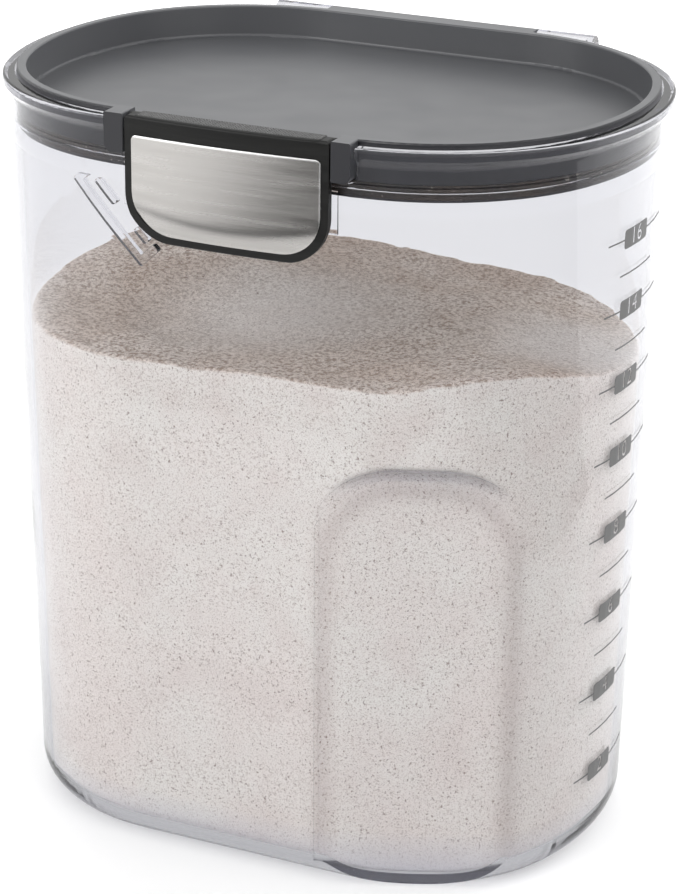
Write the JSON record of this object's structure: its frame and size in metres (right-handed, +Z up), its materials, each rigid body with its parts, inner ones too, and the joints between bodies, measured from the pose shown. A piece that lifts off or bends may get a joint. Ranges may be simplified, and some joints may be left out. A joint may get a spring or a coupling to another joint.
{
  "type": "food storage container",
  "caption": "Clear oval kitchen keeper with a hinged gray tray lid, a dark seal, a black front latch faced in brushed steel, and arched hand grips.",
  "frame": {"origin": "centre of the flat base, on the surface it stands on", "axes": "+Z up, -Y towards the latch at the front, +X towards the end with the volume marks"},
  "size_m": [0.194, 0.1478, 0.2255],
  "materials": {
    "clear_plastic": "polished clear copolyester",
    "lid_plastic": "satin moulded gray",
    "seal_silicone": "soft dark silicone",
    "latch_plastic": "satin black",
    "grip_rubber": "dimpled soft black",
    "plate_steel": "brushed along the plate",
    "pin_steel": "drawn wire"
  },
  "bodies": {
    "tub": {"tub": "clear_plastic", "hinge_pin_left": "pin_steel", "hinge_pin_right": "pin_steel"},
    "lid": {"lid": "lid_plastic", "gasket": "seal_silicone", "latch_pin_left": "pin_steel", "latch_pin_right": "pin_steel"},
    "latch": {"latch_frame": "latch_plastic", "latch_plate": "plate_steel", "latch_grip_pad": "grip_rubber"}
  },
  "joints": [
    {"name": "lid_hinge", "type": "hinge", "parent": "tub", "child": "lid", "pos_m": [0, 0.0712, 0.222], "axis": [-1, 0, 0], "range_deg": [0, 110]},
    {"name": "latch_hinge", "type": "hinge", "parent": "lid", "child": "latch", "pos_m": [0, -0.0673, 0.222], "axis": [-1, 0, 0], "range_deg": [0, 95]}
  ]
}
